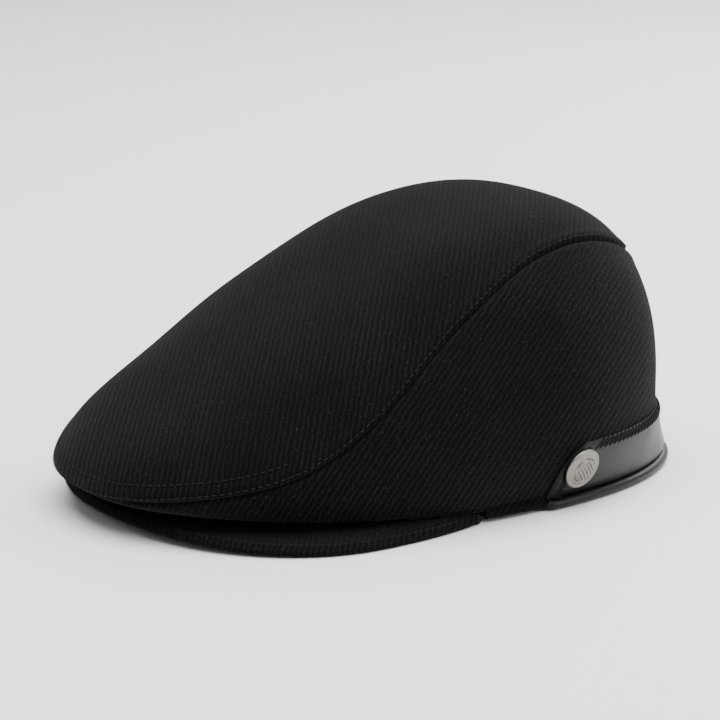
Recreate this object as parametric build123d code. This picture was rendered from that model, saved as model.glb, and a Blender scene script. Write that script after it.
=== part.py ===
"""A wool duckbill flat cap with a stiffened brim, a leather back strap and two tack buttons.

Frame, in millimetres: +Z up, the front of the cap at -Y, the wearer's left at +X.
The origin is the middle of the head opening, on the surface that the cap rests on.
Angles run round the cap: 0 at the front, 90 at the wearer's left, 180 at the back.
A height station runs up each panel: -1 at the lower lip, 0 at the widest line, 1 at the top.
"""

import os
from math import asin, atan2, copysign, cos, hypot, pi, radians, sin

from build123d import *

# Lower lip of the crown, a rounded oval that reaches further forward than the head does.
LIP_HALF_WIDTH = 85.0
LIP_FRONT = -153.0
LIP_BACK = 105.5
LIP_SQUARENESS_FRONT = 0.85
LIP_SQUARENESS_BACK = 0.855
LIP_HEIGHT_FRONT = 13.0
LIP_HEIGHT_BACK = 6.4
LIP_CURL = 0.5

# How far the widest line stands outside the lip: a cosine series round the cap.
BULGE = (3.3, 5.9, -5.0, 3.5)

# Height of the widest line and of the dome above it, as polynomials along the cap.
WIDEST_HEIGHT = (32.2, 11.4, -4.9)
DOME_HEIGHT = (62.0, 45.5, -7.2, -24.6)
DOME_FLATNESS = (3.35, 1.45)
DOME_ROUNDNESS = (2.14, 0.27)

# Height station of the seam between the top panel and the sides: a cosine series.
SEAM = (0.19, -0.26, -0.19, 0.01, 0.01, -0.05, -0.02, -0.02)

# Head opening: it follows the lip at the back, and is a half ellipse in front.
HEM_HEIGHT = 5.0
OPENING_FRONT = -105.0

# Depth of each layer's faces below the outside of the crown.
WOOL = 1.8
INTERLINING_OUTSIDE = 2.0
INTERLINING_INSIDE = 2.7
INTERLINING_COVER = 0.97
LINING_OUTSIDE = 3.6
LINING_INSIDE = 4.2

SWEATBAND_OUTSIDE = 5.2
SWEATBAND_THICKNESS = 0.9
SWEATBAND_BOTTOM = 3.0
SWEATBAND_TOP = 36.0
SWEATBAND_LEAN = 18.0
JOIN_TAPE_WIDTH = 16.0
JOIN_TAPE_THICKNESS = 0.7

# Back strap, its rolled lower edge and the cord inside that edge.
STRAP_GAP = 0.5
STRAP_THICKNESS = 1.3
STRAP_BOTTOM = 4.8
STRAP_TOP = 27.5
STRAP_FRONT = 5.5
STRAP_FRONT_RISE = 15.0
PIPING_TOP = 4.5
PIPING_INSET = 2.6
PIPING_OUTSET = 2.9
PIPING_ROUND = 1.2
PIPING_CORD = 1.1

# Wool binding of the hem, between the brim's end and the strap.
BINDING_FRONT = -18.0
BINDING_BOTTOM = 1.5
BINDING_TOP = 4.8
BINDING_OUTSET = 0.8
BINDING_INSET = 2.4

# Brim: half ellipses in plan, arched over its width and rising to the front.
BRIM_HALF_WIDTH = 94.0
BRIM_MIDDLE = -80.0
BRIM_FRONT = -153.0
BRIM_TAPER = 130.0
BRIM_BACK = -24.0
BRIM_ARCH_FRONT = 3.2
BRIM_ARCH_ROOT = 0.2
BRIM_LAYERS = {"lower_cover": 1.0, "board": 1.4, "padding": 0.8, "upper_cover": 1.2}
BRIM_THICKNESS = sum(BRIM_LAYERS.values())
BRIM_EDGE_WRAP = 2.0
BRIM_ROOT_GAP = 0.4

# Tack button: a domed face that turns on a tack set through the strap and the wool.
BUTTON_ANGLE = 104.5
BUTTON_STATION = -0.41
BUTTON_RADIUS = 8.75
BUTTON_RIM = 1.2
BUTTON_DOME = 2.6
BUTTON_WALL = 0.6
BUTTON_LIFT = 0.5
COLLAR_RADIUS = 3.2
HEAD_RADIUS = 5.0
HEAD_THICKNESS = 0.8
TURN_CLEARANCE = 0.3
NAIL_RADIUS = 1.2
NAIL_HEAD_RADIUS = 4.5
NAIL_HEAD_THICKNESS = 0.9

ANGLE_STEPS = 24
RING_POINTS = 2 * ANGLE_STEPS
ACROSS_STEPS = 16
DOWN_STEPS = 9
SEAM_GAP = 0.002
FAR = 400.0


def power(base, exponent):
    """A power that keeps the sign of its base."""
    return copysign(abs(base) ** exponent, base)


def polynomial(coefficients, x):
    return sum(c * x**k for k, c in enumerate(coefficients))


def cosine_series(coefficients, angle):
    return sum(c * cos(k * angle) for k, c in enumerate(coefficients))


def frontness(angle):
    """1 at the front, 0 at the back."""
    return (1 + cos(angle)) / 2


LIP_LENGTH = (LIP_BACK - LIP_FRONT) / 2
LIP_MIDDLE = (LIP_BACK + LIP_FRONT) / 2
CROWN_FRONT = LIP_FRONT - cosine_series(BULGE, 0)
CROWN_BACK = LIP_BACK + cosine_series(BULGE, pi)
CROWN_LENGTH = (CROWN_BACK - CROWN_FRONT) / 2
CROWN_MIDDLE = (CROWN_BACK + CROWN_FRONT) / 2


def lip_point(angle):
    square = LIP_SQUARENESS_BACK + (LIP_SQUARENESS_FRONT - LIP_SQUARENESS_BACK) * frontness(angle)
    rise = (LIP_HEIGHT_FRONT - LIP_HEIGHT_BACK) * max(cos(angle), 0) ** 1.2
    return (
        LIP_HALF_WIDTH * power(sin(angle), square),
        LIP_MIDDLE - LIP_LENGTH * power(cos(angle), square),
        LIP_HEIGHT_BACK + rise,
    )


def widest_point(angle):
    x, y, _ = lip_point(angle)
    out = cosine_series(BULGE, angle)
    x, y = x + out * sin(angle), y - out * cos(angle)
    return x, y, polynomial(WIDEST_HEIGHT, (y - CROWN_MIDDLE) / CROWN_LENGTH)


def crown_point(angle, station):
    """A point of the crown's outside."""
    x, y, z = widest_point(angle)
    if station >= 0:
        spread = cos(station * pi / 2)
        x, y = x * spread, CROWN_MIDDLE + (y - CROWN_MIDDLE) * spread
        along = (y - CROWN_MIDDLE) / CROWN_LENGTH
        rise = max(0.0, 1 - spread ** polynomial(DOME_FLATNESS, along))
        rise **= 1 / polynomial(DOME_ROUNDNESS, along)
        return Vector(x, y, polynomial(WIDEST_HEIGHT, along) + polynomial(DOME_HEIGHT, along) * rise)
    lip_x, lip_y, lip_z = lip_point(angle)
    drop = sin(-station * pi / 2)
    spread = (1 - drop * drop) ** (1 + (LIP_CURL - 1) * frontness(angle) ** 2)
    return Vector(lip_x + (x - lip_x) * spread, lip_y + (y - lip_y) * spread, z - (z - lip_z) * drop)


def crown_normal(angle, station):
    """The outward normal of the crown's outside, steadied at its lip and at its top."""
    step = 1e-3
    station = min(max(station, -0.9), 0.97)
    around = crown_point(angle + step, station) - crown_point(angle - step, station)
    upward = crown_point(angle, station + step) - crown_point(angle, station - step)
    return around.cross(upward).normalized()


def inside_crown(angle, station, depth):
    """A point that lies a depth below the crown's outside."""
    return crown_point(angle, station) - crown_normal(angle, station) * depth


def station_at_height(angle, height):
    """The height station of the crown's wall that lies at a height, found by halving."""
    low, high = -1.0, 0.3
    for _ in range(30):
        middle = (low + high) / 2
        if crown_point(angle, middle).Z < height:
            low = middle
        else:
            high = middle
    return low


def ring_angles():
    return [2 * pi * i / RING_POINTS for i in range(RING_POINTS)]


def ring(points):
    return Wire([Edge.make_spline(points, periodic=True)])


def strip_wire(outside, inside):
    """A closed section of cloth from its outer and inner curves, each a list of point lists."""
    edges = []
    for points in (outside, inside):
        for run in points:
            edges.append(Edge.make_spline(run) if len(run) > 2 else Edge.make_line(*run))
    edges.append(Edge.make_line(outside[-1][-1], inside[-1][-1]))
    edges.append(Edge.make_line(outside[0][0], inside[0][0]))
    return Wire(edges)


def opening_point(angle, inset, height):
    """The head opening's edge, shrunk by an inset."""
    front = LIP_MIDDLE - OPENING_FRONT
    if cos(angle) >= 0:
        return Vector(
            (LIP_HALF_WIDTH - inset) * sin(angle),
            LIP_MIDDLE - (front - inset) * cos(angle),
            height,
        )
    x, y, _ = lip_point(angle)
    x *= (LIP_HALF_WIDTH - inset) / LIP_HALF_WIDTH
    y = LIP_MIDDLE + (y - LIP_MIDDLE) * (LIP_LENGTH - inset) / LIP_LENGTH
    return Vector(x, y, height)


def opening_ring(inset, height, front_rise=0.0):
    return ring(
        [opening_point(a, inset, height + front_rise * max(cos(a), 0)) for a in ring_angles()]
    )


def flatten(points, origin, direction):
    """Points moved along a direction onto the plane through an origin."""
    return [point - direction * (point - origin).dot(direction) for point in points]


def top_panel(outer_depth, inner_depth, cover=1.0):
    """One layer of the top panel, lofted from back to front through sections that cross it."""

    def section_point(across, along, depth):
        angle, reach = atan2(across, -along), hypot(across, along)
        seam = cosine_series(SEAM, angle) + SEAM_GAP
        return inside_crown(angle, 1 - cover * reach * (1 - seam), depth)

    sections = []
    for step in range(1, ANGLE_STEPS):
        angle = pi * step / ANGLE_STEPS
        places = [sin(angle) * (2 * i / ACROSS_STEPS - 1) for i in range(ACROSS_STEPS + 1)]
        outside, inside = (
            [section_point(place, -cos(angle), depth) for place in places]
            for depth in (outer_depth, inner_depth)
        )
        if step in (1, ANGLE_STEPS - 1):
            middle = ACROSS_STEPS // 2
            through = outside[middle] - inside[middle]
            along = through.cross(Vector(1, 0, 0)).normalized()
            outside, inside = (flatten(run, outside[middle], along) for run in (outside, inside))
        sections.insert(0, strip_wire([outside], [inside]))
    return Solid.make_loft(sections, ruled=True)


def side_panel(outer_depth, inner_depth):
    """One layer of the left side panel: from the seam to the lip, then under to the opening."""
    sections = []
    for step in range(ANGLE_STEPS + 1):
        angle = pi * step / ANGLE_STEPS
        seam = cosine_series(SEAM, angle) - SEAM_GAP
        stations = [seam + (-1 - seam) * i / DOWN_STEPS for i in range(DOWN_STEPS + 1)]
        runs = []
        for depth in (outer_depth, inner_depth):
            wall = [inside_crown(angle, station, depth) for station in stations]
            edge = opening_point(angle, depth, HEM_HEIGHT + depth * max(cos(angle), 0))
            runs.append([wall, [wall[-1], edge]])
        sections.append(strip_wire(*runs))
    return Solid.make_loft(sections, ruled=True)


def wall_ring(height, outset):
    """A level ring that stands off the crown's wall at a height."""
    points = []
    for angle in ring_angles():
        point = inside_crown(angle, station_at_height(angle, max(height, LIP_HEIGHT_BACK)), -outset)
        points.append(Vector(point.X, point.Y, height))
    return ring(points)


def back_strap():
    heights = (STRAP_BOTTOM, (STRAP_BOTTOM + STRAP_TOP) / 2, STRAP_TOP)
    outside = Solid.make_loft(
        [wall_ring(z, STRAP_GAP + STRAP_THICKNESS) for z in heights], ruled=True
    )
    inside = Solid.make_loft([wall_ring(z, STRAP_GAP) for z in heights], ruled=True)
    return (outside - inside) & strap_region(STRAP_BOTTOM, STRAP_TOP, STRAP_FRONT)


def opening_plate(inset, low, high):
    """The head opening's area between two heights."""
    return extrude(Face(opening_ring(inset, low)), high - low)


def strap_region(low, high, front):
    """Everything behind the strap's rounded front end, between two heights."""
    bend = (front + STRAP_FRONT_RISE / 6, low + (high - low) * 0.6)
    profile = Plane.YZ * make_face(
        [
            Edge.make_three_point_arc((front, low), bend, (front + STRAP_FRONT_RISE, high)),
            Edge.make_line((front + STRAP_FRONT_RISE, high), (FAR, high)),
            Edge.make_line((FAR, high), (FAR, low)),
            Edge.make_line((FAR, low), (front, low)),
        ]
    )
    return extrude(profile, FAR / 2, both=True)


def behind(y, low, high):
    return Pos(0, y + FAR / 2, (low + high) / 2) * Box(FAR, FAR, high - low)


def piping():
    """The rolled leather edge, flat where it rests, and the cord inside it."""
    profile = (
        (0.0, PIPING_ROUND),
        (PIPING_ROUND, 0.0),
        (PIPING_TOP - PIPING_ROUND, 0.0),
        (PIPING_TOP, PIPING_ROUND),
    )
    outside = Solid.make_loft([opening_ring(cut - PIPING_OUTSET, z) for z, cut in profile], ruled=True)
    inside = Solid.make_loft([opening_ring(PIPING_INSET - cut, z) for z, cut in profile], ruled=True)
    centre = (PIPING_INSET - PIPING_OUTSET) / 2
    low, high = PIPING_TOP / 2 - PIPING_CORD, PIPING_TOP / 2 + PIPING_CORD
    cord = opening_plate(centre - PIPING_CORD, low, high) - opening_plate(centre + PIPING_CORD, low, high)
    cord &= behind(STRAP_FRONT + 2, 0, PIPING_TOP)
    roll = (outside - inside) & behind(STRAP_FRONT, 0, PIPING_TOP)
    return roll - cord, cord


def hem_binding(side):
    outside = opening_plate(-BINDING_OUTSET, BINDING_BOTTOM, BINDING_TOP)
    strip = outside - opening_plate(BINDING_INSET, BINDING_BOTTOM, BINDING_TOP)
    length = STRAP_FRONT - BINDING_FRONT - 0.2
    return strip & Pos(side * FAR / 2, BINDING_FRONT + length / 2, 0) * Box(FAR, length, FAR)


def band_form(inset):
    """The space inside the sweatband, which leans in with the back wall."""
    lean = SWEATBAND_LEAN
    top = [opening_point(a, inset + lean * max(-cos(a), 0), SWEATBAND_TOP) for a in ring_angles()]
    return Solid.make_loft([opening_ring(inset, SWEATBAND_BOTTOM), ring(top)], ruled=True)


def sweatband():
    inner = band_form(SWEATBAND_OUTSIDE + SWEATBAND_THICKNESS)
    band = band_form(SWEATBAND_OUTSIDE) - inner
    tape = inner - band_form(SWEATBAND_OUTSIDE + SWEATBAND_THICKNESS + JOIN_TAPE_THICKNESS)
    tape &= Pos(0, FAR / 2, 0) * Box(JOIN_TAPE_WIDTH, FAR, FAR)
    return band, tape


def brim_outline(inset):
    """The brim's plan: a half ellipse in front and a longer one that tapers back to the hem."""
    width = BRIM_HALF_WIDTH - inset
    front = BRIM_MIDDLE - BRIM_FRONT - inset
    back = BRIM_TAPER - inset
    points = []
    for angle in ring_angles():
        length = front if cos(angle) >= 0 else back
        points.append(Vector(width * sin(angle), BRIM_MIDDLE - length * cos(angle), -20))
    return extrude(Face(ring(points)), 60)


def brim_slab(low, high):
    """A slab between two heights above the brim's underside, over the whole plan."""
    sections = []
    stations = (
        (BRIM_FRONT - 6, BRIM_ARCH_FRONT + 0.7),
        (OPENING_FRONT, BRIM_ARCH_ROOT),
        (BRIM_BACK + 40, BRIM_ARCH_ROOT),
    )
    wide = BRIM_HALF_WIDTH + 6
    for y, arch in stations:
        sections.append(
            Wire(
                [
                    Edge.make_three_point_arc((-wide, y, low), (0, y, arch + low), (wide, y, low)),
                    Edge.make_line((wide, y, low), (wide, y, high)),
                    Edge.make_three_point_arc((wide, y, high), (0, y, arch + high), (-wide, y, high)),
                    Edge.make_line((-wide, y, high), (-wide, y, low)),
                ]
            )
        )
    return Solid.make_loft(sections, ruled=True)


def brim_layers():
    opening = extrude(Face(opening_ring(-BRIM_ROOT_GAP, -20)), 60)
    front = Pos(0, BRIM_BACK - FAR / 2, 0) * Box(FAR, FAR, FAR)
    full = (brim_outline(0) - opening) & front
    inner = brim_outline(BRIM_EDGE_WRAP) - extrude(Face(opening_ring(-BRIM_EDGE_WRAP, -20)), 60)
    inner &= Pos(0, BRIM_BACK - 6 - FAR / 2, 0) * Box(FAR, FAR, FAR)
    board_low = BRIM_LAYERS["lower_cover"]
    padding_low = board_low + BRIM_LAYERS["board"]
    padding_high = padding_low + BRIM_LAYERS["padding"]
    half = BRIM_THICKNESS / 2
    board = inner & brim_slab(board_low, padding_low)
    padding = inner & brim_slab(padding_low, padding_high)
    filling = inner & brim_slab(board_low, padding_high)
    return {
        "brim_board": board,
        "brim_padding": padding,
        "brim_lower_cover": (full & brim_slab(0, half)) - filling,
        "brim_upper_cover": (full & brim_slab(half, BRIM_THICKNESS)) - filling,
    }


def button_place(side):
    """The plane on the strap's outside, under the middle of a button."""
    angle = radians(BUTTON_ANGLE) * side
    out = crown_normal(angle, BUTTON_STATION)
    origin = crown_point(angle, BUTTON_STATION) + out * (STRAP_GAP + STRAP_THICKNESS)
    return Plane(origin=origin, z_dir=out)


def button_pieces():
    """A button on its own axis: the strap's outside is at height 0."""
    base = BUTTON_LIFT
    rim = base + BUTTON_RIM
    dome_radius = (BUTTON_RADIUS**2 + BUTTON_DOME**2) / (2 * BUTTON_DOME)
    half_turn = asin(BUTTON_RADIUS / dome_radius) / 2
    dome_middle = (
        dome_radius * sin(half_turn),
        rim + BUTTON_DOME - dome_radius * (1 - cos(half_turn)),
    )
    half_profile = make_face(
        [
            Edge.make_line((COLLAR_RADIUS + TURN_CLEARANCE, base), (BUTTON_RADIUS, base)),
            Edge.make_line((BUTTON_RADIUS, base), (BUTTON_RADIUS, rim)),
            Edge.make_three_point_arc((BUTTON_RADIUS, rim), dome_middle, (0, rim + BUTTON_DOME)),
            Edge.make_line((0, rim + BUTTON_DOME), (0, rim + BUTTON_DOME - BUTTON_WALL)),
            Edge.make_line(
                (0, rim + BUTTON_DOME - BUTTON_WALL), (HEAD_RADIUS + TURN_CLEARANCE, rim + BUTTON_WALL)
            ),
            Edge.make_line(
                (HEAD_RADIUS + TURN_CLEARANCE, rim + BUTTON_WALL),
                (HEAD_RADIUS + TURN_CLEARANCE, base + BUTTON_WALL),
            ),
            Edge.make_line(
                (HEAD_RADIUS + TURN_CLEARANCE, base + BUTTON_WALL),
                (COLLAR_RADIUS + TURN_CLEARANCE, base + BUTTON_WALL),
            ),
            Edge.make_line(
                (COLLAR_RADIUS + TURN_CLEARANCE, base + BUTTON_WALL), (COLLAR_RADIUS + TURN_CLEARANCE, base)
            ),
        ]
    )
    face = revolve(Plane.XZ * half_profile, Axis.Z)
    head_low = base + BUTTON_WALL + TURN_CLEARANCE
    through = STRAP_GAP + STRAP_THICKNESS + WOOL
    nail = Pos(0, 0, -through / 2 + 0.5) * Cylinder(NAIL_RADIUS, through + 1)
    collar = Pos(0, 0, head_low / 2) * Cylinder(COLLAR_RADIUS, head_low)
    head = Pos(0, 0, head_low + HEAD_THICKNESS / 2) * Cylinder(HEAD_RADIUS, HEAD_THICKNESS)
    foot_low = -through - 0.15 - NAIL_HEAD_THICKNESS
    foot = Pos(0, 0, foot_low + NAIL_HEAD_THICKNESS / 2) * Cylinder(NAIL_HEAD_RADIUS, NAIL_HEAD_THICKNESS)
    stem = Pos(0, 0, (foot_low + NAIL_HEAD_THICKNESS / 2) / 2) * Cylinder(
        NAIL_RADIUS, -foot_low - NAIL_HEAD_THICKNESS / 2
    )
    shank = collar + head - nail
    tack = foot + stem + nail
    hole = Cylinder(NAIL_RADIUS, 30)
    return face, shank, tack, hole


def build():
    strap = back_strap()
    wool_side = side_panel(0, WOOL)
    lining_side = side_panel(LINING_OUTSIDE, LINING_INSIDE)
    nodes = {
        "crown_top_panel": top_panel(0, WOOL),
        "crown_interlining": top_panel(INTERLINING_OUTSIDE, INTERLINING_INSIDE, INTERLINING_COVER),
        "lining_top_panel": top_panel(LINING_OUTSIDE, LINING_INSIDE),
    }
    face, shank, tack, hole = button_pieces()
    for side, name in ((1, "left"), (-1, "right")):
        place = button_place(side)
        strap -= place * hole
        wool = wool_side if side > 0 else mirror(wool_side, about=Plane.YZ)
        nodes[f"crown_side_panel_{name}"] = wool - place * hole
        nodes[f"lining_side_panel_{name}"] = (
            lining_side if side > 0 else mirror(lining_side, about=Plane.YZ)
        )
        nodes[f"hem_binding_{name}"] = hem_binding(side)
        nodes[f"button_face_{name}"] = place * face
        nodes[f"button_shank_{name}"] = place * shank
        nodes[f"button_tack_{name}"] = place * tack
    nodes["back_strap"] = strap
    nodes["strap_piping"], nodes["piping_cord"] = piping()
    nodes["sweatband"], nodes["sweatband_join_tape"] = sweatband()
    nodes.update(brim_layers())
    return nodes


os.makedirs("parts", exist_ok=True)
for node_name, node_shape in build().items():
    export_step(node_shape, f"parts/{node_name}.step")
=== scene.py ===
"""The looks of a wool duckbill flat cap. Shapes are worked out in millimetres and scaled to metres.
The front is at -Y and the wearer's left at +X."""

import math

import bmesh
import bpy
import numpy as np
from mathutils import Matrix, Vector
from mathutils.kdtree import KDTree


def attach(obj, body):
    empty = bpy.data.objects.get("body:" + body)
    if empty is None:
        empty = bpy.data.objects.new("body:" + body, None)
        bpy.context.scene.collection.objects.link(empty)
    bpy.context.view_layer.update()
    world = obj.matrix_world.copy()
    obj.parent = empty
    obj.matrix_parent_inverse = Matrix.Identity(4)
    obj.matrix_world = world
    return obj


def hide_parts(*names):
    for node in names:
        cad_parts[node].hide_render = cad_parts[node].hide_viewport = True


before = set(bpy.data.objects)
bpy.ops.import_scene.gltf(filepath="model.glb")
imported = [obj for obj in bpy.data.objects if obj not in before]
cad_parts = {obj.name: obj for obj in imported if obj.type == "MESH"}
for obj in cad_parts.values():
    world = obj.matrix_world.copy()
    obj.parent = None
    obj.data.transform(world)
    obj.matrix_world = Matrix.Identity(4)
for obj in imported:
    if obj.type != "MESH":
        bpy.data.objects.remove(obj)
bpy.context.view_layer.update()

MM = 0.001
TAU = 2 * math.pi

# The crown's shape, as the design has it: lip, bulge, heights and seam.
LIP = dict(half_width=85.0, front=-153.0, back=105.5, square_front=0.85, square_back=0.855)
LIP_HEIGHT_FRONT, LIP_HEIGHT_BACK, LIP_CURL = 13.0, 6.4, 0.5
BULGE = (3.3, 5.9, -5.0, 3.5)
WIDEST_HEIGHT = (32.2, 11.4, -4.9)
DOME_HEIGHT = (62.0, 45.5, -7.2, -24.6)
DOME_FLATNESS = (3.35, 1.45)
DOME_ROUNDNESS = (2.14, 0.27)
SEAM = (0.19, -0.26, -0.19, 0.01, 0.01, -0.05, -0.02, -0.02)
HEM_HEIGHT, OPENING_FRONT = 5.0, -105.0
WOOL, LINING_OUTSIDE, LINING_INSIDE = 1.8, 3.6, 4.2

STRAP_BOTTOM, STRAP_TOP, STRAP_FRONT, STRAP_RISE = 4.6, 27.5, 5.5, 15.0
STRAP_GAP, STRAP_THICKNESS = 0.1, 1.2
BUTTON_ANGLE, BUTTON_STATION = math.radians(104.5), -0.41

BRIM_HALF_WIDTH, BRIM_MIDDLE, BRIM_FRONT, BRIM_TAPER = 94.0, -80.0, -153.0, 130.0
BRIM_ARCH, BRIM_THICKNESS = 3.9, 4.4
BRIM_ROOT_ANGLE, BRIM_EDGE_ANGLE = math.radians(86.5), math.radians(114.2)

LIP_LENGTH = (LIP["back"] - LIP["front"]) / 2
LIP_MIDDLE = (LIP["back"] + LIP["front"]) / 2


# ---------------------------------------------------------------- the crown's surface

def power(base, exponent):
    return np.sign(base) * np.abs(base) ** exponent


def polynomial(coefficients, x):
    return sum(c * x**k for k, c in enumerate(coefficients))


def cosine_series(coefficients, angle):
    return sum(c * np.cos(k * angle) for k, c in enumerate(coefficients))


CROWN_FRONT = LIP["front"] - float(cosine_series(BULGE, 0.0))
CROWN_BACK = LIP["back"] + float(cosine_series(BULGE, math.pi))
CROWN_LENGTH = (CROWN_BACK - CROWN_FRONT) / 2
CROWN_MIDDLE = (CROWN_BACK + CROWN_FRONT) / 2


def frontness(angle):
    return (1 + np.cos(angle)) / 2


def lip_point(angle):
    square = LIP["square_back"] + (LIP["square_front"] - LIP["square_back"]) * frontness(angle)
    rise = (LIP_HEIGHT_FRONT - LIP_HEIGHT_BACK) * np.clip(np.cos(angle), 0, 1) ** 1.2
    x = LIP["half_width"] * power(np.sin(angle), square)
    y = LIP_MIDDLE - LIP_LENGTH * power(np.cos(angle), square)
    return x, y, LIP_HEIGHT_BACK + rise


def crown(angle, station):
    """Points of the crown's outside: station -1 at the lip, 0 at the widest line, 1 on top."""
    angle, station = np.broadcast_arrays(np.asarray(angle, float), np.asarray(station, float))
    lip_x, lip_y, lip_z = lip_point(angle)
    out = cosine_series(BULGE, angle)
    x, y = lip_x + out * np.sin(angle), lip_y - out * np.cos(angle)
    wide_z = polynomial(WIDEST_HEIGHT, (y - CROWN_MIDDLE) / CROWN_LENGTH)
    spread = np.cos(np.clip(station, 0, 1) * math.pi / 2)
    dome_y = CROWN_MIDDLE + (y - CROWN_MIDDLE) * spread
    along = (dome_y - CROWN_MIDDLE) / CROWN_LENGTH
    rise = np.clip(1 - spread ** polynomial(DOME_FLATNESS, along), 0, 1)
    rise = rise ** (1 / polynomial(DOME_ROUNDNESS, along))
    dome_z = polynomial(WIDEST_HEIGHT, along) + polynomial(DOME_HEIGHT, along) * rise
    dome = np.stack([x * spread, dome_y, dome_z], -1)
    drop = np.sin(np.clip(-station, 0, 1) * math.pi / 2)
    inward = np.clip(1 - drop * drop, 0, 1) ** (1 + (LIP_CURL - 1) * frontness(angle) ** 2)
    wall = np.stack(
        [lip_x + (x - lip_x) * inward, lip_y + (y - lip_y) * inward, wide_z - (wide_z - lip_z) * drop], -1
    )
    return np.where((station >= 0)[..., None], dome, wall)


def crown_normal(angle, station):
    step = 2e-3
    station = np.clip(station, -0.93, 0.985)
    around = crown(angle + step, station) - crown(angle - step, station)
    upward = crown(angle, station + step) - crown(angle, station - step)
    normal = np.cross(around, upward)
    return normal / np.linalg.norm(normal, axis=-1, keepdims=True)


def seam_station(angle):
    return cosine_series(SEAM, angle)


SEAM_ANGLES = np.linspace(0, TAU, 1441)[:-1]
SEAM_TREE = KDTree(len(SEAM_ANGLES))
for seam_number, seam_place in enumerate(crown(SEAM_ANGLES, seam_station(SEAM_ANGLES))):
    SEAM_TREE.insert(seam_place, seam_number)
SEAM_TREE.balance()


def seam_distance(points):
    gaps = [SEAM_TREE.find(point)[2] for point in points.reshape(-1, 3)]
    return np.array(gaps).reshape(points.shape[:-1])


def opening(angle, inset, height):
    """The head opening's edge: a half ellipse in front, the lip's own line behind."""
    lip_x, lip_y, _ = lip_point(angle)
    half = LIP["half_width"]
    front = np.cos(angle) >= 0
    x = np.where(front, (half - inset) * np.sin(angle), lip_x * (half - inset) / half)
    y_front = LIP_MIDDLE - (LIP_MIDDLE - OPENING_FRONT - inset) * np.cos(angle)
    y_back = LIP_MIDDLE + (lip_y - LIP_MIDDLE) * (LIP_LENGTH - inset) / LIP_LENGTH
    return np.stack([x, np.where(front, y_front, y_back), height + 0 * x], -1)


def wall_station(angle, height):
    """The station at which the crown's wall reaches a height, by halving."""
    low, high = np.full(np.shape(angle), -1.0), np.full(np.shape(angle), 0.3)
    for _ in range(26):
        middle = (low + high) / 2
        under = crown(angle, middle)[..., 2] < height
        low, high = np.where(under, middle, low), np.where(under, high, middle)
    return low


def ripple(points, size, height, seed):
    """A soft, uneven swell: a few slow waves in fixed directions."""
    draw = np.random.default_rng(seed)
    total = 0
    for _ in range(6):
        direction = draw.normal(size=3)
        direction *= draw.uniform(0.6, 1.5) / np.linalg.norm(direction)
        total = total + np.sin(points @ direction * TAU / size + draw.uniform(0, TAU))
    return total * height / 3


# ---------------------------------------------------------------- mesh helpers


def add_piece(name, points, faces, material, body="cap", smooth=True):
    mesh = bpy.data.meshes.new(name)
    mesh.from_pydata((np.asarray(points).reshape(-1, 3) * MM).tolist(), [], faces)
    mesh.validate()
    mesh.polygons.foreach_set("use_smooth", [smooth] * len(mesh.polygons))
    mesh.materials.append(material)
    piece = bpy.data.objects.new(name, mesh)
    bpy.context.scene.collection.objects.link(piece)
    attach(piece, body)
    return piece


def grid_faces(rows, columns, wrap=False, start=0, flip=False):
    faces = []
    for i in range(rows - 1):
        for j in range(columns if wrap else columns - 1):
            k = (j + 1) % columns
            face = [start + i * columns + j, start + i * columns + k,
                    start + (i + 1) * columns + k, start + (i + 1) * columns + j]
            faces.append(face[::-1] if flip else face)
    return faces


def shell(name, outside, inside, material, wrap, body="cap", pole=False):
    """A closed skin of cloth between two grids of the same shape; a pole closes over its first row."""
    rows, columns = outside.shape[:2]
    count = rows * columns
    faces = grid_faces(rows, columns, wrap) + grid_faces(rows, columns, wrap, count, True)
    edges = [[(i, j) for j in range(columns)] for i in (0, rows - 1)]
    if not wrap:
        edges += [[(i, j) for i in range(rows)] for j in (0, columns - 1)]
    if pole:
        faces += [list(range(columns)), list(range(count, count + columns))[::-1]]
    for number, edge in enumerate(edges):
        if wrap:
            edge = edge + edge[:1]
        if pole and number == 0:
            continue
        for (i, j), (k, m) in zip(edge, edge[1:]):
            a, b = i * columns + j, k * columns + m
            face = [a, b, b + count, a + count]
            faces.append(face if number in (1, 2) else face[::-1])
    points = np.concatenate([outside.reshape(-1, 3), inside.reshape(-1, 3)])
    return add_piece(name, points, faces, material, body)


def loop_sweep(name, loops, material, body="cap", closed=False):
    """Closed sections joined along a path, capped at both ends unless the path closes."""
    rows, columns = loops.shape[:2]
    faces = grid_faces(rows, columns, True)
    if closed:
        last = (rows - 1) * columns
        faces += [[last + j, last + (j + 1) % columns, (j + 1) % columns, j] for j in range(columns)]
    else:
        faces.append(list(range(columns))[::-1])
        faces.append([(rows - 1) * columns + j for j in range(columns)])
    piece = add_piece(name, loops, faces, material, body)
    fix_normals(piece)
    return piece


def fix_normals(piece):
    work = bmesh.new()
    work.from_mesh(piece.data)
    bmesh.ops.recalc_face_normals(work, faces=work.faces)
    work.to_mesh(piece.data)
    work.free()


def unit(vectors):
    return vectors / np.maximum(np.linalg.norm(vectors, axis=-1, keepdims=True), 1e-9)


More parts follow.
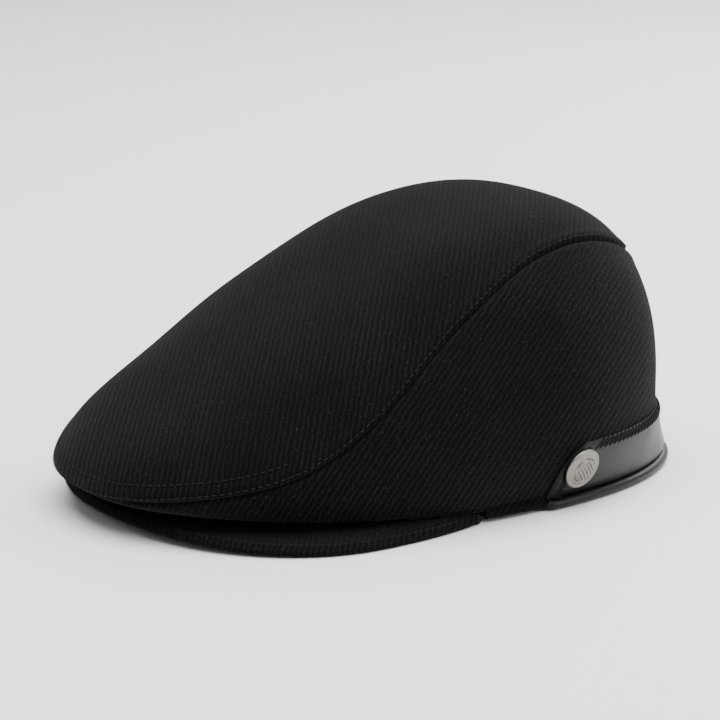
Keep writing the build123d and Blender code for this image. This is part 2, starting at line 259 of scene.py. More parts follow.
def stitches(name, starts, ends, normals, radius, rise, material, body="cap"):
    """Short threads from start to end, arched a little off the cloth."""
    sides, rings = 7, 6
    points, faces = [], []
    along = ends - starts
    axis = unit(along)
    across = unit(np.cross(normals, axis))
    out = np.cross(axis, across)
    turn = np.arange(sides) * TAU / sides
    for ring_number in range(rings + 1):
        t = ring_number / rings
        swell = math.sin(math.pi * t) ** 0.45 if 0 < t < 1 else 0.15
        centre = starts + along * t + normals * (rise * math.sin(math.pi * t))
        circle = across[:, None] * np.cos(turn)[None, :, None] + out[:, None] * np.sin(turn)[None, :, None]
        points.append(centre[:, None] + circle * radius * swell)
    points = np.stack(points, 1)
    count, per = len(starts), (rings + 1) * sides
    base_faces = grid_faces(rings + 1, sides, True)
    base_faces += [list(range(sides))[::-1], [rings * sides + j for j in range(sides)]]
    for number in range(count):
        faces += [[number * per + v for v in face] for face in base_faces]
    return add_piece(name, points, faces, material, body)


def even_steps(points, pitch):
    """Fractional places along a line of points, an even pitch apart."""
    lengths = np.linalg.norm(np.diff(points, axis=0), axis=1)
    total = np.concatenate([[0], np.cumsum(lengths)])
    count = max(2, int(total[-1] / pitch))
    places = np.linspace(0, total[-1], count + 1)
    return np.interp(places, total, np.arange(len(points)))


def at_places(values, places):
    """Values between the entries of a list, at fractional places in it."""
    low = np.clip(places.astype(int), 0, len(values) - 2)
    share = (places - low)[:, None]
    return values[low] * (1 - share) + values[low + 1] * share


def stitch_row(name, line, normals, pitch, material, body="cap", length=0.72, radius=0.26, rise=0.2):
    places = even_steps(line, pitch)
    first = places[:-1]
    last = first + (places[1:] - first) * length
    starts, ends = at_places(line, first), at_places(line, last)
    out = unit(at_places(normals, (first + last) / 2))
    return stitches(name, starts, ends, out, radius, rise, material, body)


# ---------------------------------------------------------------- materials

class Nodes:
    """A small helper that builds one node material."""

    def __init__(self, name):
        self.material = bpy.data.materials.new(name)
        self.material.use_nodes = True
        self.tree = self.material.node_tree
        self.shader = self.tree.nodes["Principled BSDF"]
        self.place = self.node("ShaderNodeTexCoord").outputs["Object"]

    def node(self, kind, **values):
        made = self.tree.nodes.new(kind)
        for key, value in values.items():
            setattr(made, key, value)
        return made

    def link(self, output, socket):
        self.tree.links.new(output, socket)

    def fill(self, made, values):
        for key, value in values.items():
            socket = made.inputs[key]
            if isinstance(value, bpy.types.NodeSocket):
                self.link(value, socket)
            else:
                socket.default_value = value

    def math(self, operation, first, second=0.0, clamp=False):
        made = self.node("ShaderNodeMath", operation=operation, use_clamp=clamp)
        self.fill(made, {0: first, 1: second})
        return made.outputs[0]

    def noise(self, scale, detail=3.0, roughness=0.5, place=None):
        made = self.node("ShaderNodeTexNoise")
        self.fill(made, {"Vector": place or self.place, "Scale": scale, "Detail": detail,
                         "Roughness": roughness})
        return made.outputs["Fac"]

    def waves(self, direction, period, distortion=0.0, detail_scale=200.0):
        """Bands square to a direction, as a value from 0 to 1."""
        dot = self.node("ShaderNodeVectorMath", operation="DOT_PRODUCT")
        self.fill(dot, {0: self.place, 1: tuple(float(c) for c in direction)})
        phase = self.math("MULTIPLY", dot.outputs["Value"], TAU / (period * MM))
        if distortion:
            wander = self.math("SUBTRACT", self.noise(detail_scale, 2.0), 0.5)
            phase = self.math("ADD", phase, self.math("MULTIPLY", wander, distortion))
        wave = self.math("SINE", phase)
        return self.math("ADD", self.math("MULTIPLY", wave, 0.5), 0.5)

    def ramp(self, value, stops):
        made = self.node("ShaderNodeValToRGB")
        made.color_ramp.elements.remove(made.color_ramp.elements[0])
        for number, (place, colour) in enumerate(stops):
            stop = made.color_ramp.elements[0] if number == 0 else made.color_ramp.elements.new(place)
            stop.position = place
            stop.color = (*colour, 1)
        self.link(value, made.inputs["Fac"])
        return made.outputs["Color"]

    def bump(self, height, distance, strength=1.0):
        made = self.node("ShaderNodeBump")
        self.fill(made, {"Height": height, "Distance": distance * MM, "Strength": strength})
        self.link(made.outputs["Normal"], self.shader.inputs["Normal"])

    def finish(self, **values):
        for key, value in values.items():
            self.fill(self.shader, {key.replace("_", " "): value})
        return self.material


def grey(level, tint=0.0):
    return (level * (1 - tint), level, level * (1 + tint))


def twill(name, direction, lean):
    """Dark wool twill: raised ribs crossed by finer yarns, with fuzz and pale flecks."""
    n = Nodes(name)
    ribs = n.waves(direction, 2.1, 6.0, 300.0)
    yarns = n.waves(lean, 1.15, 3.5, 420.0)
    fuzz = n.noise(1500.0, 4.0, 0.65)
    cloud = n.noise(28.0, 3.0)
    weave = n.math("ADD", n.math("MULTIPLY", ribs, 0.42), n.math("MULTIPLY", yarns, 0.12))
    height = n.math("ADD", weave, n.math("MULTIPLY", fuzz, 0.95))
    tone = n.math("ADD", n.math("MULTIPLY", height, 0.62), n.math("MULTIPLY", cloud, 0.22))
    base = n.ramp(tone, [(0.25, grey(0.0006, 0.03)), (0.6, grey(0.0026, 0.03)), (0.95, grey(0.013, 0.03))])
    fleck = n.math("GREATER_THAN", n.noise(900.0, 1.0, 0.4), 0.755)
    mix = n.node("ShaderNodeMix", data_type="RGBA")
    n.link(n.math("MULTIPLY", fleck, 0.16), mix.inputs["Factor"])
    n.link(base, mix.inputs[6])
    mix.inputs[7].default_value = (0.12, 0.125, 0.14, 1)
    n.bump(height, 0.55, 0.85)
    return n.finish(
        Base_Color=mix.outputs[2], Roughness=0.93, Sheen_Weight=0.045, Sheen_Roughness=0.4,
        Sheen_Tint=(0.7, 0.71, 0.74, 1), Specular_IOR_Level=0.06,
    )


def leather(name, level=0.0025):
    n = Nodes(name)
    grain = n.node("ShaderNodeTexVoronoi", feature="DISTANCE_TO_EDGE")
    n.fill(grain, {"Vector": n.place, "Scale": 900.0})
    creases = n.noise(90.0, 5.0, 0.6)
    height = n.math("ADD", n.math("MULTIPLY", n.math("MINIMUM", grain.outputs["Distance"], 0.25), 1.2),
                    n.math("MULTIPLY", creases, 0.8))
    n.bump(height, 0.16, 0.55)
    colour = n.ramp(creases, [(0.3, grey(level * 0.6)), (0.75, grey(level * 2.0))])
    rough = n.math("ADD", n.math("MULTIPLY", n.noise(60.0, 3.0), 0.2), 0.3)
    return n.finish(Base_Color=colour, Roughness=rough, Specular_IOR_Level=0.22)


def thread(name, level):
    n = Nodes(name)
    twist = n.waves((0.6, 0.5, 0.62), 0.35, 2.0, 900.0)
    n.bump(n.math("ADD", twist, n.noise(2600.0, 3.0)), 0.08, 0.8)
    colour = n.ramp(twist, [(0.2, grey(level * 0.5)), (0.9, grey(level * 1.6))])
    return n.finish(Base_Color=colour, Roughness=0.8, Specular_IOR_Level=0.2)


def brushed_metal(name, level, warm, scale):
    n = Nodes(name)
    stretch = n.node("ShaderNodeMapping")
    stretch.inputs["Scale"].default_value = scale
    n.link(n.place, stretch.inputs["Vector"])
    lines = n.noise(1200.0, 4.0, 0.6, stretch.outputs["Vector"])
    stain = n.noise(220.0, 4.0)
    n.bump(lines, 0.03, 0.5)
    tone = n.math("ADD", n.math("MULTIPLY", lines, 0.5), n.math("MULTIPLY", stain, 0.5))
    colour = n.ramp(tone, [(0.3, (level * 0.72, level * 0.7, level * 0.66)),
                           (0.7, (level * (1 + warm), level, level * (1 - warm)))])
    rough = n.math("ADD", n.math("MULTIPLY", stain, 0.2), 0.24)
    return n.finish(Base_Color=colour, Metallic=1.0, Roughness=rough)


def satin_lining(name):
    n = Nodes(name)
    warp = n.waves((0.0, 1.0, 0.15), 0.5, 2.0, 500.0)
    weft = n.waves((1.0, 0.0, 0.3), 0.6, 2.0, 500.0)
    folds = n.noise(55.0, 3.0)
    n.bump(n.math("ADD", n.math("MULTIPLY", warp, weft), n.math("MULTIPLY", folds, 3.0)), 0.2, 0.5)
    colour = n.ramp(folds, [(0.3, grey(0.012)), (0.8, grey(0.035, 0.05))])
    return n.finish(Base_Color=colour, Roughness=0.42, Sheen_Weight=0.3)


def ribbed_band(name):
    n = Nodes(name)
    ribs = n.waves((0.0, 0.0, 1.0), 0.9, 1.0, 300.0)
    fuzz = n.noise(1400.0, 3.0)
    height = n.math("ADD", ribs, n.math("MULTIPLY", fuzz, 0.6))
    n.bump(height, 0.25, 0.8)
    colour = n.ramp(n.math("MULTIPLY", height, 0.6), [(0.1, grey(0.008)), (0.9, grey(0.04))])
    return n.finish(Base_Color=colour, Roughness=0.85, Sheen_Weight=0.3)


def plain_cloth(name, colour):
    n = Nodes(name)
    fibres = n.noise(700.0, 5.0, 0.7)
    n.bump(fibres, 0.2, 0.7)
    dark = tuple(c * 0.7 for c in colour)
    return n.finish(Base_Color=n.ramp(fibres, [(0.3, dark), (0.7, colour)]), Roughness=0.9)


# The camera's directions, which the slant of the ribs and the lights also follow.
AZIMUTH, ELEVATION = math.radians(57.3), math.radians(13.2)
RIGHT = np.array([math.cos(AZIMUTH), math.sin(AZIMUTH), 0.0])
BACKWARD = np.array([math.sin(AZIMUTH) * math.cos(ELEVATION), -math.cos(AZIMUTH) * math.cos(ELEVATION),
                     math.sin(ELEVATION)])
UP = np.cross(BACKWARD, RIGHT)


def slanted(degrees):
    """The direction square to ribs that lean a number of degrees from the level."""
    lean = math.radians(degrees)
    return RIGHT * math.sin(lean) - UP * math.cos(lean)


FLIP = np.array([-1.0, 1.0, 1.0])
WOOL_TOP = twill("wool_top", slanted(81), slanted(22))
WOOL_LEFT = twill("wool_left", slanted(57), slanted(-20))
WOOL_RIGHT = twill("wool_right", slanted(57) * FLIP, slanted(-20) * FLIP)
WOOL_BRIM = twill("wool_brim", slanted(78), slanted(15))
LEATHER = leather("strap_leather")
THREAD = thread("black_thread", 0.0075)
THREAD_LEATHER = thread("strap_thread", 0.0015)
NICKEL = brushed_metal("brushed_nickel", 0.23, 0.09, (1.0, 1.0, 8.0))
STEEL = brushed_metal("plain_steel", 0.5, 0.0, (1.0, 6.0, 1.0))
LINING = satin_lining("satin_lining")
BAND = ribbed_band("ribbed_band")
INTERLINING = plain_cloth("interlining_cloth", (0.2, 0.2, 0.2))
CORD = plain_cloth("filler_cord", (0.5, 0.47, 0.4))
BOARD = plain_cloth("brim_board_fibre", (0.5, 0.5, 0.46))
FOAM = plain_cloth("brim_foam", (0.2, 0.2, 0.22))


# ---------------------------------------------------------------- the crown

SEAM_DEPTH, SEAM_WIDTH = 1.5, 0.95
PUFF_DISTANCE, PUFF_WIDTH = 3.6, 2.4
TOP_PUFF, SIDE_PUFF = 0.55, 0.3
TOP_SEED, SIDE_SEED = 3, 5
SWELL_SIZE, SWELL_HEIGHT, SWELL_CLEARANCE = 75.0, 0.45, 15.0
PANEL_GAP = 0.001
INTERLINING_OUTSIDE, INTERLINING_INSIDE, INTERLINING_COVER = 2.1, 2.6, 0.96
STITCH_PITCH = 3.0
TOPSTITCH_ROWS = (("seam_topstitch_near", 1.9, 2.72), ("seam_topstitch_far", 7.0, 0.95))


def relief(points, normal, puff, seed):
    """The crown's surface with its seam pressed in and the cloth puffed beside it."""
    gap = seam_distance(points)
    groove = -SEAM_DEPTH * np.exp(-((gap / SEAM_WIDTH) ** 2))
    swollen = puff * np.exp(-(((gap - PUFF_DISTANCE) / PUFF_WIDTH) ** 2))
    swell = ripple(points, SWELL_SIZE, SWELL_HEIGHT, seed) * np.clip(gap / SWELL_CLEARANCE, 0, 1)
    height = groove + swollen + swell
    return points + normal * height[..., None]


def top_grid(depth, cover=1.0, carve=True):
    """Points of the top panel, from the crown's top out to the seam, at a depth in the cloth."""
    columns, rows = 288, 84
    angle = np.linspace(0, TAU, columns, endpoint=False)[None]
    reach = (1 - (1 - np.linspace(0.002, 1, rows)) ** 1.7)[:, None] * cover
    station = 1 - reach * (1 - seam_station(angle) - PANEL_GAP)
    points, normal = crown(angle, station), crown_normal(angle + 0 * station, station)
    if carve:
        points = relief(points, normal, TOP_PUFF, TOP_SEED)
    return points - normal * depth


def make_top_panel():
    outside = top_grid(0)
    piece = shell("top_panel_wool", outside, top_grid(WOOL), WOOL_TOP, True, pole=True)
    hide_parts("crown_top_panel")
    fix_normals(piece)
    hidden = (("lining_top", "lining_top_panel", "lining", LINING, LINING_OUTSIDE, LINING_INSIDE, 1.0),
              ("interlining_top", "crown_interlining", "interlining", INTERLINING, INTERLINING_OUTSIDE,
               INTERLINING_INSIDE, INTERLINING_COVER))
    for name, node, slot, material, outer, inner, cover in hidden:
        outside = top_grid(outer, cover, False)
        layer = shell(name, outside, top_grid(inner, cover, False), material, True, pole=True)
        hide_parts(node)
        fix_normals(layer)


def side_grid(side, depth, carve=True):
    """Points of a side panel: down the wall from the seam, then under to the head opening."""
    columns, rows, under_rows = 260, 72, 12
    angle = np.linspace(0, math.pi, columns)[None] * side
    share = (np.linspace(0, 1, rows) ** 1.5)[:, None]
    station = seam_station(angle) - PANEL_GAP + (PANEL_GAP - 1 - seam_station(angle)) * share
    points, normal = crown(angle, station), crown_normal(angle + 0 * station, station)
    if carve:
        points = relief(points, normal, SIDE_PUFF, SIDE_SEED)
    wall = points - normal * depth
    edge = opening(angle[0], depth, HEM_HEIGHT + depth * np.clip(np.cos(angle[0]), 0, 1))
    steps = np.linspace(0, 1, under_rows + 1)[1:, None, None]
    under = wall[-1] + (edge - wall[-1]) * steps
    return np.concatenate([wall, under])


def make_side_panels():
    for side, name, wool in ((1, "left", WOOL_LEFT), (-1, "right", WOOL_RIGHT)):
        piece = shell(f"side_panel_wool_{name}", side_grid(side, 0), side_grid(side, WOOL), wool, False)
        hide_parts(f"crown_side_panel_{name}")
        fix_normals(piece)
        side_grid(side, 0, False)
        lining = shell(f"lining_side_{name}", side_grid(side, LINING_OUTSIDE, False),
                       side_grid(side, LINING_INSIDE, False), LINING, False)
        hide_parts(f"lining_side_panel_{name}")
        fix_normals(lining)
        side_grid(side, LINING_OUTSIDE, False)


def seam_offset_line(distance, angles):
    """A line on the top panel, a distance from the seam, and its normals."""
    station = seam_station(angles) + distance / 110
    for _ in range(6):
        points = crown(angles, station)
        step = np.linalg.norm(crown(angles, station + 1e-3) - points, axis=-1) / 1e-3
        station = station + (distance - seam_distance(points)) / step
    normal = crown_normal(angles, station)
    points = relief(crown(angles, station), normal, TOP_PUFF, TOP_SEED)
    return points, normal


def make_top_stitching():
    for name, distance, reach in TOPSTITCH_ROWS:
        angles = np.linspace(-reach, reach, 900)
        line, normal = seam_offset_line(distance, angles)
        row = stitch_row(name, line + normal * 0.05, normal, STITCH_PITCH, THREAD)


# ---------------------------------------------------------------- leather strap, piping and buttons

STRAP_SPAN = 305.0  # estimate: millimetres front to back for one whole share, at the rate of its ends
STRAP_BEND = 3.6  # the power by which the rounded end bends back
STRAP_END_SCALE = 420.0  # turns a share of the strap into the distance that thickens its ends
STRAP_END_ROUND = 1.6  # at this distance the strap has its full thickness
ZIGZAG_PITCH, ZIGZAG_ABOVE, ZIGZAG_BELOW, ZIGZAG_MARGIN = 1.5, 0.6, 3.7, 0.028
OVERLOCK_PITCH, OVERLOCK_LENGTH, OVERLOCK_UNEVEN = 1.15, 5.8, 0.6
STRAP_THREAD_RADIUS, STRAP_THREAD_RISE, WOOL_THREAD_LIFT = 0.42, 0.5, 0.35


def strap_share(height):
    return np.clip((height - STRAP_BOTTOM) / (STRAP_TOP - STRAP_BOTTOM), 0, 1)


def strap_front_y(height):
    """How far back the strap's front end is at a height: nearly upright, then bending back."""
    share = strap_share(height)
    return STRAP_FRONT + STRAP_RISE * (0.1 * share + 0.9 * share**STRAP_BEND)


def strap_start(height):
    """The angle at which the strap's rounded front end stands at a height."""
    start_y = strap_front_y(height)
    angles = np.radians(np.linspace(80, 130, 120))
    result = []
    for value, y in zip(np.ravel(height), np.ravel(start_y)):
        wall_y = crown(angles, wall_station(angles, value))[:, 1]
        result.append(np.interp(y, wall_y, angles))
    return np.array(result).reshape(np.shape(height))


def strap_point(share_along, height, outset):
    """Points and normals on the strap's surface, from its left end at 0 to its right end at 1."""
    start = strap_start(height)
    angle = start + (TAU - 2 * start) * share_along
    station = wall_station(angle, np.maximum(height, LIP_HEIGHT_BACK))
    points = crown(angle, station)
    normal = crown_normal(angle, station)
    points = points + normal * outset[..., None]
    points[..., 2] = height + (points[..., 2] - np.maximum(height, LIP_HEIGHT_BACK))
    return points, normal


def make_strap():
    columns, side_rows = 200, 22
    along = np.linspace(0, 1, columns)
    heights = STRAP_BOTTOM + (STRAP_TOP - STRAP_BOTTOM) * np.linspace(0, 1, side_rows)
    edge = np.linspace(-1, 1, side_rows)
    swell = (1 - np.abs(edge) ** 6) ** 0.5
    loops = []
    for place in along:
        end = min(place, 1 - place) * STRAP_END_SCALE
        taper = min(1.0, math.sqrt(min(end, STRAP_END_ROUND) / STRAP_END_ROUND) * 0.75 + 0.25)
        puff = 0.35 * math.sin(place * 61) * math.sin(place * 23 + 1)
        outer = STRAP_GAP + 0.25 + (STRAP_THICKNESS + 0.2 * puff) * swell * taper
        out, _ = strap_point(np.full(side_rows, place), heights, outer)
        inn, _ = strap_point(np.full(side_rows, place), heights, np.full(side_rows, STRAP_GAP - 0.1))
        loops.append(np.concatenate([out, inn[::-1]]))
    piece = loop_sweep("strap_leather_band", np.array(loops), LEATHER)
    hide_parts("back_strap")
    lift = STRAP_GAP + STRAP_THICKNESS + 0.1
    make_strap_zigzag(lift)
    make_strap_overlock(lift)


def make_strap_zigzag(lift):
    middle = np.linspace(ZIGZAG_MARGIN, 1 - ZIGZAG_MARGIN, 700)
    line, _ = strap_point(middle, np.full(len(middle), STRAP_TOP - 1.3), np.full(len(middle), lift))
    places = even_steps(line, ZIGZAG_PITCH)
    shares = at_places(middle[:, None], places)[:, 0]
    on_wool = np.arange(len(shares)) % 2 == 1
    heights = np.where(on_wool, STRAP_TOP + ZIGZAG_ABOVE, STRAP_TOP - ZIGZAG_BELOW)
    lifts = np.where(on_wool, WOOL_THREAD_LIFT, lift + 0.1)
    points, normal = strap_point(shares, heights, lifts)
    row = stitches("strap_zigzag", points[:-1], points[1:], unit(normal[:-1] + normal[1:]),
                   STRAP_THREAD_RADIUS, STRAP_THREAD_RISE, THREAD_LEATHER)


def make_strap_overlock(lift):
    """Close stitches square to the outline of the strap's two rounded ends."""
    fine = np.linspace(STRAP_BOTTOM + 0.4, STRAP_TOP - 0.1, 240)
    outline, _ = strap_point(0 * fine, fine, 0 * fine + lift)
    heights = at_places(fine[:, None], even_steps(outline, OVERLOCK_PITCH))[:, 0]
    bend = 0.1 + 0.9 * STRAP_BEND * strap_share(heights) ** (STRAP_BEND - 1)
    slope = STRAP_RISE * bend / (STRAP_TOP - STRAP_BOTTOM)
    uneven = OVERLOCK_UNEVEN * np.sin(np.arange(len(heights)) * 2.3)
    reach = (OVERLOCK_LENGTH + uneven) / np.sqrt(1 + slope**2)
    low = heights - reach * slope
    inward = (strap_front_y(heights) - strap_front_y(low) + reach) / STRAP_SPAN
    starts, ends, outs = [], [], []
    for other_end in (False, True):
        near, far = 0 * heights - 0.002, inward
        if other_end:
            near, far = 1 - near, 1 - far
        edge_points, normal = strap_point(near, heights, 0 * heights + WOOL_THREAD_LIFT)
        inner_points, _ = strap_point(far, low, 0 * heights + lift + 0.1)
        starts.append(edge_points)
        ends.append(inner_points)
        outs.append(normal)
    row = stitches("strap_end_overlock", np.concatenate(starts), np.concatenate(ends),
                   np.concatenate(outs), STRAP_THREAD_RADIUS, STRAP_THREAD_RISE + 0.05, THREAD_LEATHER)


PIPING_WIDTH, PIPING_HEIGHT, PIPING_OUTSET, PIPING_MIDDLE = 2.75, 2.3, 0.3, 2.35
PIPING_END_ROUND = 2.5


def make_piping():
    count, sides = 260, 18
    angle_line = np.linspace(math.radians(80), math.pi, 400)
    y_line = opening(angle_line, -0.2, 2.3)[:, 1]
    start = float(np.interp(STRAP_FRONT - 1.0, y_line, angle_line))
    angle = np.linspace(start, TAU - start, count)
    centre = opening(angle, -PIPING_OUTSET, PIPING_MIDDLE)
    tangent = unit(np.gradient(centre, axis=0))
    out = unit(np.cross(tangent, np.array([0, 0, 1.0])))
    travel = np.concatenate([[0], np.cumsum(np.linalg.norm(np.diff(centre, axis=0), axis=1))])
    turn = np.arange(sides) * TAU / sides
    loops = []
    for i in range(count):
        end = min(travel[i], travel[-1] - travel[i])
        taper = math.sqrt(min(end, PIPING_END_ROUND) / PIPING_END_ROUND) * 0.85 + 0.15
        crease = 1 + 0.035 * math.sin(travel[i] * 1.9) * math.sin(travel[i] * 0.37) ** 2
        wide, tall = PIPING_WIDTH * taper * crease, PIPING_HEIGHT * taper * crease
        loop = centre[i] + out[i] * (np.cos(turn) * wide)[:, None]
        loop = loop + np.array([0, 0, 1.0]) * (np.sin(turn) * tall)[:, None]
        loop[:, 2] = np.maximum(loop[:, 2], 0.0)
        loops.append(loop)
    piece = loop_sweep("piping_leather_roll", np.array(loops), LEATHER)
    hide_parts("strap_piping")


BUTTON_STANDOFF = 1.8
DOME_START, DOME_BASE, DOME_RISE = 6.6, 2.2, 1.75
HATCH_PITCH, HATCH_DEPTH, HATCH_RADIUS = 1.5, 0.26, 4.6
GROOVE_RADIUS, GROOVE_WIDTH, GROOVE_DEPTH = 5.3, 0.28, 0.5
BACK_RADIUS, BACK_HEIGHT = 3.6, 0.55


def button_frame(side):
    """A button's middle on the strap, its axis, and its up and across directions."""
    angle = np.array([BUTTON_ANGLE * side])
    station = np.array([BUTTON_STATION])
    axis = crown_normal(angle, station)[0]
    origin = crown(angle, station)[0] + axis * BUTTON_STANDOFF
    upright = unit(np.array([0, 0, 1.0]) - axis * axis[2])
    return origin, axis, upright, np.cross(upright, axis)


def make_button(side, name):
    """A domed face with a rolled rim, a ring groove and a plain hatched middle."""
    origin, axis, up, across = button_frame(side)
    rim = [(8.2, 0.55), (8.6, 0.7), (8.75, 1.1), (8.7, 1.55), (8.4, 1.95), (7.9, 2.15), (7.4, 2.1),
           (7.1, 1.95), (6.9, 1.98), (DOME_START, DOME_BASE)]
    dome = [(r, DOME_BASE + DOME_RISE * (1 - (r / DOME_START) ** 2)) for r in np.linspace(6.4, 0.1, 90)]
    profile = np.array(rim + dome)
    turns = 144
    turn = np.arange(turns) * TAU / turns
    radius, height = profile[:, 0][:, None], profile[:, 1][:, None]
    x, y = radius * np.cos(turn), radius * np.sin(turn)
    hatch = np.clip(np.sin((x * 0.8 + y * 0.6) * TAU / HATCH_PITCH) * 2.0, -1, 1)
    window = np.clip((HATCH_RADIUS - radius) / 0.5, 0, 1)
    ring_groove = np.exp(-(((radius - GROOVE_RADIUS) / GROOVE_WIDTH) ** 2))
    height = height + hatch * window * HATCH_DEPTH - ring_groove * GROOVE_DEPTH
    points = origin + x[..., None] * across + y[..., None] * up + height[..., None] * axis
    rows = len(profile)
    faces = grid_faces(rows, turns, True)
    faces.append([(rows - 1) * turns + j for j in range(turns)])
    back = origin + axis * BACK_HEIGHT
    inner = back + BACK_RADIUS * (np.cos(turn)[:, None] * across + np.sin(turn)[:, None] * up)
    points = np.concatenate([points.reshape(-1, 3), inner])
    start = rows * turns
    faces += [[j, (j + 1) % turns, start + (j + 1) % turns, start + j][::-1] for j in range(turns)]
    faces.append([start + j for j in range(turns)])
    piece = add_piece(f"button_dome_{name}", points, faces, NICKEL, f"button_{name}")
    fix_normals(piece)
    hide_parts(f"button_face_{name}")


# ---------------------------------------------------------------- brim, hem and sweatband

BRIM_ROOT_HEIGHT, BRIM_ARCH_HALF_WIDTH = 0.2, 98.0
BRIM_EDGE_ROUND, BRIM_STITCH_INSET = 2.4, 4.6
BRIM_STITCH_DEPTH, BRIM_STITCH_WIDTH = 0.35, 0.8


def brim_bottom(x, y):
    """The height of the brim's underside, arched across its width."""
    share = np.clip((OPENING_FRONT - y) / (OPENING_FRONT - BRIM_FRONT), 0, 1)
    middle = BRIM_ROOT_HEIGHT + (BRIM_ARCH - BRIM_ROOT_HEIGHT) * share
    return middle * np.clip(1 - (x / BRIM_ARCH_HALF_WIDTH) ** 2, 0, 1)


def brim_grid(rows, columns):
    """Plan points of the brim: rows run from its root to its edge, columns from end to end."""
    place = np.linspace(-1, 1, columns)
    root = opening(place * BRIM_ROOT_ANGLE, -0.4, 0.0)[:, :2]
    angle = place * BRIM_EDGE_ANGLE
    length = np.where(np.cos(angle) >= 0, BRIM_MIDDLE - BRIM_FRONT, BRIM_TAPER)
    edge = np.stack([BRIM_HALF_WIDTH * np.sin(angle), BRIM_MIDDLE - length * np.cos(angle)], -1)
    share = np.linspace(0, 1, rows)[:, None, None]
    return root + (edge - root) * share


def make_brim():
    rows, columns = 40, 220
    plan = brim_grid(rows, columns)
    low = brim_bottom(plan[..., 0], plan[..., 1])
    gap = np.linalg.norm(plan - plan[-1], axis=-1)
    half = BRIM_THICKNESS / 2
    roundness = np.sqrt(np.clip(1 - (1 - np.clip(gap / BRIM_EDGE_ROUND, 0, 1)) ** 2, 0, 1))
    roundness = np.clip(roundness, 0.02, 1)
    seam_dip = -BRIM_STITCH_DEPTH * np.exp(-(((gap - BRIM_STITCH_INSET) / BRIM_STITCH_WIDTH) ** 2))
    for sign, name, node in ((1, "upper", "brim_upper_cover"), (-1, "lower", "brim_lower_cover")):
        face_z = low + half + sign * half * roundness + (seam_dip if sign > 0 else 0)
        middle_z = low + half + sign * 0.05
        outside = np.concatenate([plan, face_z[..., None]], -1)
        inside = np.concatenate([plan, np.minimum(middle_z, face_z)[..., None] if sign > 0
                                 else np.maximum(middle_z, face_z)[..., None]], -1)
        piece = shell(f"brim_{name}_wool", outside, inside, WOOL_BRIM, False, "brim")
        fix_normals(piece)
        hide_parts(node)
    line_row = int(np.argmin(np.abs(gap[:, columns // 2] - BRIM_STITCH_INSET)))
    line = np.concatenate([plan, (low + BRIM_THICKNESS - 0.3)[..., None]], -1)[line_row]
    up = np.tile([0, 0, 1.0], (columns, 1))
    row = stitch_row("brim_edge_topstitch", line[6:-6], up[6:-6], STITCH_PITCH, THREAD, "brim")


BINDING_FRONT = -24.0


def make_hem_binding():
    for side, name, wool in ((1, "left", WOOL_LEFT), (-1, "right", WOOL_RIGHT)):
        angle_line = np.linspace(math.radians(60), math.radians(110), 300)
        y_line = opening(angle_line, 0, 0)[:, 1]
        first, last = (float(np.interp(y, y_line, angle_line)) for y in (BINDING_FRONT, STRAP_FRONT - 0.5))
        angle = np.linspace(first, last, 60) * side
        centre = opening(angle, 0.9, 3.3)
        tangent = unit(np.gradient(centre, axis=0))
        out = unit(np.cross(tangent, np.array([0, 0, 1.0]))) * side
        turn = np.arange(16) * TAU / 16
        loops = centre[:, None] + out[:, None] * (power(np.cos(turn), 0.7) * 1.7)[None, :, None]
        loops = loops + np.array([0, 0, 1.0]) * (power(np.sin(turn), 0.7) * 1.9)[None, :, None]
        piece = loop_sweep(f"hem_binding_wool_{name}", loops, wool)
        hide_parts(f"hem_binding_{name}")


BAND_BOTTOM, BAND_HEIGHT, BAND_LEAN = 3.0, 33.0, 18.0
BAND_CUT_WIDTH, BAND_STITCH_PITCH = 0.033, 3.2


def band_line(angle, inset, height):
    """A level line round the sweatband, which leans in behind as it rises."""
    lean = BAND_LEAN * np.clip(-np.cos(angle), 0, 1) * (height - BAND_BOTTOM) / BAND_HEIGHT
    return opening(angle, inset + lean, height)


def make_sweatband():
    columns, rows = 240, 20
    angle = np.linspace(0, TAU, columns, endpoint=False)
    share = np.linspace(0, 1, rows)
    grids = []
    for depth in (5.25, 6.05):
        layers = []
        for t in share:
            wave = 0.35 * t * np.sin(angle * 9 + 1) * np.sin(angle * 4)
            layers.append(band_line(angle, depth + wave, BAND_BOTTOM + BAND_HEIGHT * t))
        grids.append(np.array(layers))
    piece = shell("sweatband_ribbed", grids[0], grids[1], BAND, True)
    fix_normals(piece)
    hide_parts("sweatband")
    for height, name in ((5.2, "sweatband_stitch_low"), (34.2, "sweatband_stitch_high")):
        line = band_line(angle, 6.15, height)
        inward = unit(np.concatenate([-line[:, :2], np.zeros((columns, 1))], 1) + [0, -20, 0])
        row = stitch_row(name, line, inward, BAND_STITCH_PITCH, THREAD)


def dress_cad_nodes():
    materials = {
        "sweatband_join_tape": BAND, "piping_cord": CORD, "brim_board": BOARD, "brim_padding": FOAM,
        "button_shank_left": STEEL, "button_shank_right": STEEL,
        "button_tack_left": STEEL, "button_tack_right": STEEL,
    }
    for node, material in materials.items():
        piece = bpy.data.objects[node]
        piece.data.materials.clear()
        piece.data.materials.append(material)


# ---------------------------------------------------------------- floor, light and camera

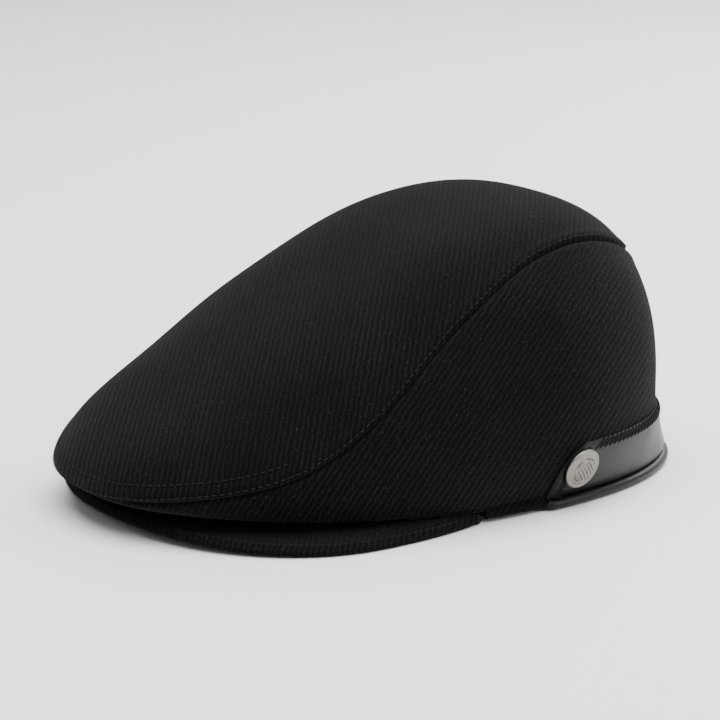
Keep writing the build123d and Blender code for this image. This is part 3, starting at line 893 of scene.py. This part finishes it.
def make_stage():
    mesh = bpy.data.meshes.new("floor")
    mesh.from_pydata([(-4, -4, 0), (4, -4, 0), (4, 4, 0), (-4, 4, 0)], [], [(0, 1, 2, 3)])
    n = Nodes("pale_floor")
    n.bump(n.noise(40.0), 0.1, 0.1)
    mesh.materials.append(n.finish(Base_Color=(0.9, 0.9, 0.89, 1), Roughness=0.75))
    floor = bpy.data.objects.new("floor", mesh)
    floor.location = (0, 0, -0.0002)
    bpy.context.scene.collection.objects.link(floor)
    world = bpy.data.worlds.new("studio")
    world.use_nodes = True
    world.node_tree.nodes["Background"].inputs["Color"].default_value = (0.98, 0.99, 1.0, 1)
    world.node_tree.nodes["Background"].inputs["Strength"].default_value = 0.5
    bpy.context.scene.world = world


def add_light(name, place, target, size, energy, colour=(1, 1, 1)):
    light = bpy.data.lights.new(name, "AREA")
    light.shape = "RECTANGLE"
    light.size, light.size_y = size
    light.energy = energy
    light.color = colour
    lamp = bpy.data.objects.new(name, light)
    lamp.location = place
    lamp.rotation_euler = (Vector(target) - Vector(place)).to_track_quat("-Z", "Y").to_euler()
    bpy.context.scene.collection.objects.link(lamp)


def make_lights():
    middle = (0, -0.03, 0.05)
    key = BACKWARD * 0.25 + RIGHT * 0.1 + np.array([0, 0, 2.0])
    rim = -BACKWARD * 1.2 + RIGHT * 0.8 + np.array([0, 0, 1.2])
    side = BACKWARD * 0.5 + RIGHT * 1.6 + np.array([0, 0, 0.5])
    add_light("key_light", tuple(key), middle, (2.4, 2.4), 112, (1, 0.995, 0.985))
    add_light("rim_light", tuple(rim), middle, (1.4, 0.9), 24, (0.97, 0.985, 1))
    add_light("side_light", tuple(side), middle, (0.8, 0.8), 12)


CAMERA_LENS, CAMERA_DISTANCE = 150.0, 1250.0
CAMERA_AIM_LEFT, CAMERA_AIM_DOWN = 25.375, 14.333


def make_camera():
    aim = np.array([0, 0, 60.0])
    place = aim + BACKWARD * CAMERA_DISTANCE
    look_at = aim - RIGHT * CAMERA_AIM_LEFT - UP * CAMERA_AIM_DOWN
    back = unit(place - look_at)
    right = unit(np.cross(UP, back))
    up = np.cross(back, right)
    data = bpy.data.cameras.new("main_camera")
    data.lens = CAMERA_LENS
    data.sensor_width = 36
    camera = bpy.data.objects.new("main_camera", data)
    matrix = np.eye(4)
    matrix[:3, 0], matrix[:3, 1], matrix[:3, 2] = right, up, back
    matrix[:3, 3] = place * MM
    camera.matrix_world = Matrix(matrix.tolist())
    bpy.context.scene.collection.objects.link(camera)
    bpy.context.scene.camera = camera


make_camera()
make_stage()
make_lights()
make_top_panel()
make_side_panels()
make_top_stitching()
make_strap()
make_piping()
for button_side, button_name in ((1, "left"), (-1, "right")):
    make_button(button_side, button_name)
make_brim()
make_hem_binding()
make_sweatband()
dress_cad_nodes()
